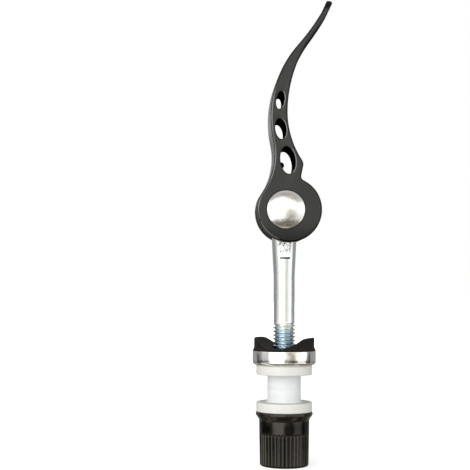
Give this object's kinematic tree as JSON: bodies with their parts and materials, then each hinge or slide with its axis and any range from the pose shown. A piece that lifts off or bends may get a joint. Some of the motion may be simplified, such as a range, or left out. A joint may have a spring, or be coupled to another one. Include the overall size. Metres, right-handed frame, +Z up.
{
  "type": "quick release seatpost clamp",
  "caption": "Quick release clamp bolt with a forked cam lever on an eye bolt, a saddle washer in a steel cup, flanged bushes and a fluted cap nut.",
  "frame": {"origin": "middle of the nut's flat foot, on the bolt's axis", "axes": "+Z up along the bolt from the nut to the lever, Y along the pivot pin with the domed head towards -Y, X in the lever's plane with the lever's tip towards +X"},
  "size_m": [0.021, 0.017, 0.1241],
  "materials": {
    "lever_black": "satin black coating",
    "pin_chrome": "polished",
    "bolt_zinc": "bright zinc plating",
    "saddle_plastic": "satin moulded black",
    "cup_chrome": "bright plated steel",
    "bush_nylon": "white nylon",
    "nut_plastic": "glossy moulded black",
    "insert_steel": "machined"
  },
  "bodies": {
    "bolt": {"eye_bolt": "bolt_zinc"},
    "lever": {"cam_lever": "lever_black", "pivot_pin": "pin_chrome"},
    "lower_bush": {"lower_bush": "bush_nylon"},
    "nut": {"nut_shell": "nut_plastic", "nut_insert": "insert_steel"},
    "upper_bush": {"upper_bush": "bush_nylon"},
    "cup": {"thrust_cup": "cup_chrome"},
    "saddle": {"cam_saddle": "saddle_plastic"}
  },
  "joints": [
    {"name": "lever_pivot", "type": "hinge", "parent": "bolt", "child": "lever", "pos_m": [0, 0, 0.0686], "axis": [0, 1, 0], "range_deg": [-90, 90]},
    {"name": "nut_lift", "type": "slide", "parent": "bolt", "child": "lower_bush", "axis": [0, 0, 1], "range_m": [-0.003, 0.004]},
    {"name": "nut_turn", "type": "hinge", "parent": "lower_bush", "child": "nut", "pos_m": [0, 0, 0], "axis": [0, 0, 1], "range_deg": [-1100, 1460]},
    {"name": "upper_bush_slide", "type": "slide", "parent": "lower_bush", "child": "upper_bush", "axis": [0, 0, 1], "range_m": [0, 0.011]},
    {"name": "cup_slide", "type": "slide", "parent": "upper_bush", "child": "cup", "axis": [0, 0, 1], "range_m": [0, 0.0085]},
    {"name": "saddle_turn", "type": "hinge", "parent": "cup", "child": "saddle", "pos_m": [0, 0, 0.031], "axis": [0, 0, 1], "continuous": true}
  ],
  "couplings": [
    {"joint": "nut_turn", "follows": "nut_lift", "rad_per_m": 6283.2}
  ]
}
